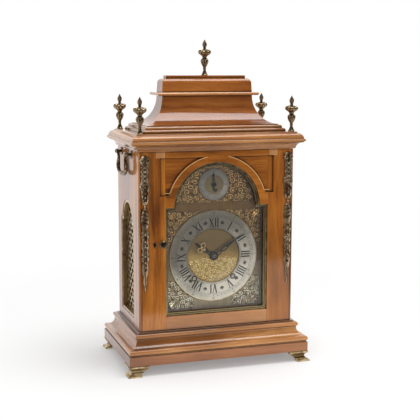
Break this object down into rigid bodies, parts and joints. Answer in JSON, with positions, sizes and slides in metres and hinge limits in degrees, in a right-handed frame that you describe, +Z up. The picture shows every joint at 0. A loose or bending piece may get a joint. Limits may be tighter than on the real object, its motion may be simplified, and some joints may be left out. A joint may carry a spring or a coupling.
{
  "type": "bracket clock",
  "caption": "Bell-top bracket clock with a hinged arched front door, glazed back door, side frets, carrying handles, urn finials and a striking movement with a short pendulum.",
  "frame": {"origin": "centre of the footprint, on the surface that the feet stand on", "axes": "+X to the right as seen from the front, +Y to the back, +Z up"},
  "size_m": [0.316, 0.195, 0.5381],
  "materials": {
    "walnut": "french polished",
    "inner_wood": "oiled",
    "aged_brass": "aged and darkened",
    "polished_brass": "satin polished",
    "silvered_brass": "silvered and brushed",
    "blued_steel": "blued and polished",
    "bright_steel": "polished",
    "window_glass": "clear"
  },
  "bodies": {
    "case": {"feet": "aged_brass", "plinth_band": "walnut", "base_moulding": "walnut", "side_left": "walnut", "side_right": "walnut", "back_frame": "inner_wood", "cornice": "walnut", "upper_moulding": "walnut", "bell_cove": "walnut", "shelf_moulding": "walnut", "bell_block": "walnut", "corner_finials": "aged_brass", "centre_finial": "aged_brass", "side_frets": "aged_brass", "handle_posts": "aged_brass", "case_fittings": "polished_brass", "dial_plate": "polished_brass", "chapter_ring": "silvered_brass", "spandrels": "polished_brass", "strike_dial": "silvered_brass", "front_plate": "polished_brass", "back_plate": "polished_brass", "pillars": "polished_brass", "seat_board": "inner_wood", "back_cocks": "polished_brass", "bell": "polished_brass"},
    "front_door": {"door_left_stile": "walnut", "door_right_stile": "walnut", "door_head": "walnut", "door_bottom_rail": "walnut", "door_bezel": "polished_brass", "door_glass": "window_glass", "door_hinges": "polished_brass", "corner_mounts": "aged_brass", "door_escutcheon": "aged_brass"},
    "door_knob": {"door_knob": "aged_brass"},
    "rear_door": {"rear_door_frame": "walnut", "rear_door_glass": "window_glass", "rear_door_fittings": "polished_brass"},
    "handle_left": {"handle_left": "aged_brass"},
    "handle_right": {"handle_right": "aged_brass"},
    "strike_hand": {"strike_hand": "blued_steel"},
    "centre_arbor": {"centre_wheel": "polished_brass", "minute_hand": "blued_steel"},
    "hour_wheel": {"hour_wheel": "polished_brass", "hour_hand": "blued_steel"},
    "minute_wheel": {"minute_wheel": "polished_brass"},
    "going_barrel": {"going_barrel": "polished_brass"},
    "going_arbor": {"going_arbor": "bright_steel"},
    "strike_barrel": {"strike_barrel": "polished_brass"},
    "strike_arbor": {"strike_arbor": "bright_steel"},
    "intermediate_wheel": {"intermediate_wheel": "polished_brass"},
    "third_wheel": {"third_wheel": "polished_brass"},
    "escape_wheel": {"escape_wheel": "polished_brass"},
    "pallets": {"pallets": "bright_steel"},
    "pendulum": {"pendulum": "polished_brass"},
    "pin_wheel": {"pin_wheel": "polished_brass"},
    "warning_wheel": {"warning_wheel": "polished_brass"},
    "fly": {"fly": "polished_brass"},
    "hammer": {"hammer": "bright_steel"}
  },
  "joints": [
    {"name": "front_door_open", "type": "hinge", "parent": "case", "child": "front_door", "pos_m": [0.1346, -0.0557, 0.2], "axis": [0, 0, 1], "range_deg": [0, 110]},
    {"name": "door_knob_turn", "type": "hinge", "parent": "front_door", "child": "door_knob", "pos_m": [-0.09399, -0.064, 0.2112], "axis": [0, 1, 0], "range_deg": [-90, 0]},
    {"name": "rear_door_open", "type": "hinge", "parent": "case", "child": "rear_door", "pos_m": [0.0927, 0.074, 0.2], "axis": [0, 0, -1], "range_deg": [0, 110]},
    {"name": "handle_left_swing", "type": "hinge", "parent": "case", "child": "handle_left", "pos_m": [-0.1405, 0, 0.353], "axis": [0, 1, 0], "range_deg": [-5, 110]},
    {"name": "handle_right_swing", "type": "hinge", "parent": "case", "child": "handle_right", "pos_m": [0.1405, 0, 0.353], "axis": [0, -1, 0], "range_deg": [-5, 110]},
    {"name": "strike_hand_turn", "type": "hinge", "parent": "case", "child": "strike_hand", "pos_m": [0, -0.052, 0.302], "axis": [0, 1, 0], "range_deg": [-50, 50]},
    {"name": "third_wheel_turn", "type": "hinge", "parent": "case", "child": "third_wheel", "pos_m": [0.01186, -0.01, 0.20584], "axis": [0, 1, 0], "continuous": true},
    {"name": "minute_hand_turn", "type": "hinge", "parent": "case", "child": "centre_arbor", "pos_m": [0, -0.01, 0.1827], "axis": [0, 1, 0], "continuous": true},
    {"name": "hour_hand_turn", "type": "hinge", "parent": "case", "child": "hour_wheel", "pos_m": [0, -0.01, 0.1827], "axis": [0, 1, 0], "continuous": true},
    {"name": "minute_wheel_turn", "type": "hinge", "parent": "case", "child": "minute_wheel", "pos_m": [0, -0.01, 0.1671], "axis": [0, 1, 0], "continuous": true},
    {"name": "intermediate_wheel_turn", "type": "hinge", "parent": "case", "child": "intermediate_wheel", "pos_m": [0.02763, -0.01, 0.17818], "axis": [0, 1, 0], "continuous": true},
    {"name": "going_barrel_turn", "type": "hinge", "parent": "case", "child": "going_barrel", "pos_m": [0.034, -0.01, 0.146], "axis": [0, 1, 0], "continuous": true},
    {"name": "escape_wheel_turn", "type": "hinge", "parent": "case", "child": "escape_wheel", "pos_m": [0, -0.01, 0.2267], "axis": [0, 1, 0], "continuous": true},
    {"name": "pendulum_swing", "type": "hinge", "parent": "case", "child": "pendulum", "pos_m": [0, 0.028, 0.2457], "axis": [0, 1, 0], "range_deg": [-3.5, 3.5]},
    {"name": "pallets_rock", "type": "hinge", "parent": "case", "child": "pallets", "pos_m": [0, -0.01, 0.2457], "axis": [0, 1, 0], "range_deg": [-3.5, 3.5]},
    {"name": "warning_wheel_turn", "type": "hinge", "parent": "case", "child": "warning_wheel", "pos_m": [-0.0345, -0.01, 0.19918], "axis": [0, 1, 0], "continuous": true},
    {"name": "pin_wheel_turn", "type": "hinge", "parent": "case", "child": "pin_wheel", "pos_m": [-0.0399, -0.01, 0.17826], "axis": [0, 1, 0], "continuous": true},
    {"name": "strike_barrel_turn", "type": "hinge", "parent": "case", "child": "strike_barrel", "pos_m": [-0.034, -0.01, 0.146], "axis": [0, 1, 0], "continuous": true},
    {"name": "fly_turn", "type": "hinge", "parent": "case", "child": "fly", "pos_m": [-0.02855, -0.01, 0.2151], "axis": [0, 1, 0], "continuous": true},
    {"name": "hammer_lift", "type": "hinge", "parent": "case", "child": "hammer", "pos_m": [-0.05, -0.01, 0.236], "axis": [0, 1, 0], "range_deg": [-18, 0], "stiffness_Nm_per_rad": 0.02, "springref_deg": 8.59},
    {"name": "going_winding", "type": "hinge", "parent": "case", "child": "going_arbor", "pos_m": [0.034, -0.01, 0.146], "axis": [0, 1, 0], "continuous": true},
    {"name": "strike_winding", "type": "hinge", "parent": "case", "child": "strike_arbor", "pos_m": [-0.034, -0.01, 0.146], "axis": [0, 1, 0], "continuous": true}
  ],
  "couplings": [
    {"joint": "minute_hand_turn", "follows": "third_wheel_turn", "ratio": -0.083333},
    {"joint": "escape_wheel_turn", "follows": "third_wheel_turn", "ratio": -11},
    {"joint": "intermediate_wheel_turn", "follows": "third_wheel_turn", "ratio": 0.011905},
    {"joint": "going_barrel_turn", "follows": "third_wheel_turn", "ratio": -0.0016534},
    {"joint": "minute_wheel_turn", "follows": "third_wheel_turn", "ratio": 0.027778},
    {"joint": "hour_hand_turn", "follows": "third_wheel_turn", "ratio": -0.0069444},
    {"joint": "pallets_rock", "follows": "pendulum_swing", "ratio": 1},
    {"joint": "pin_wheel_turn", "follows": "warning_wheel_turn", "ratio": -0.125},
    {"joint": "strike_barrel_turn", "follows": "warning_wheel_turn", "ratio": 0.017361},
    {"joint": "fly_turn", "follows": "warning_wheel_turn", "ratio": -7.5}
  ]
}
